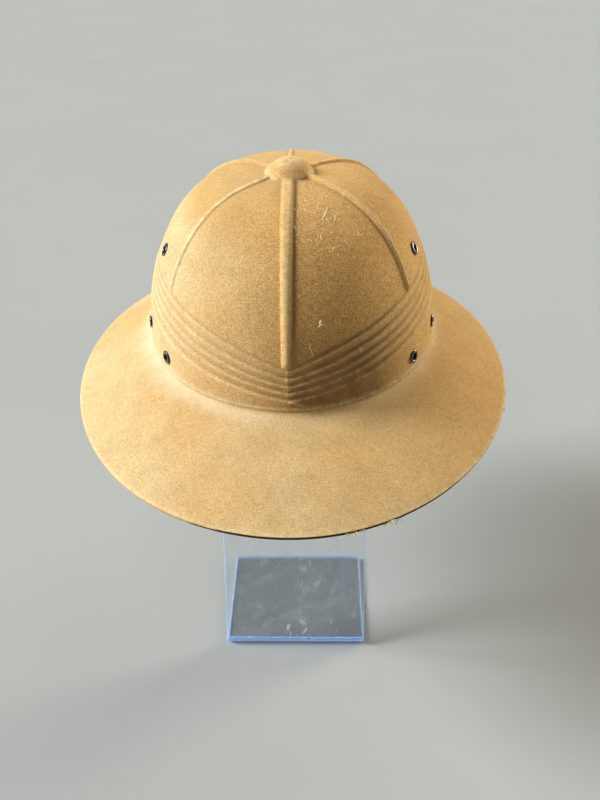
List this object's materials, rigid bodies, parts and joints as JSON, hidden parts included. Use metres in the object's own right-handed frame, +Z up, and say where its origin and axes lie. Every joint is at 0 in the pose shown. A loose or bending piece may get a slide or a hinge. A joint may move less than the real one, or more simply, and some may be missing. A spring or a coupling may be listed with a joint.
{
  "type": "pith helmet on a clear acrylic display stand",
  "caption": "Khaki cloth-faced pressed-fibre sun helmet with moulded ribs, pleated band, top button and black vent eyelets, held up by a bent clear acrylic sheet.",
  "frame": {"origin": "on the floor, under the middle of the whole object's box", "axes": "+Z up, -Y the helmet's front, +X the helmet's left side as it is worn"},
  "size_m": [0.2846, 0.3438, 0.3428],
  "materials": {
    "khaki_cloth": "faded, dusty, fine woven facing on pressed fibre",
    "black_enamel": "glossy black enamel, worn at the rolled edges",
    "clear_acrylic": "clear, polished faces, pale edges"
  },
  "bodies": {
    "root": {"helmet_shell": "khaki_cloth", "eyelet_upper_left": "black_enamel", "eyelet_upper_right": "black_enamel", "eyelet_front_left": "black_enamel", "eyelet_front_right": "black_enamel", "eyelet_side_left": "black_enamel", "eyelet_side_right": "black_enamel", "display_stand": "clear_acrylic"}
  },
  "joints": []
}
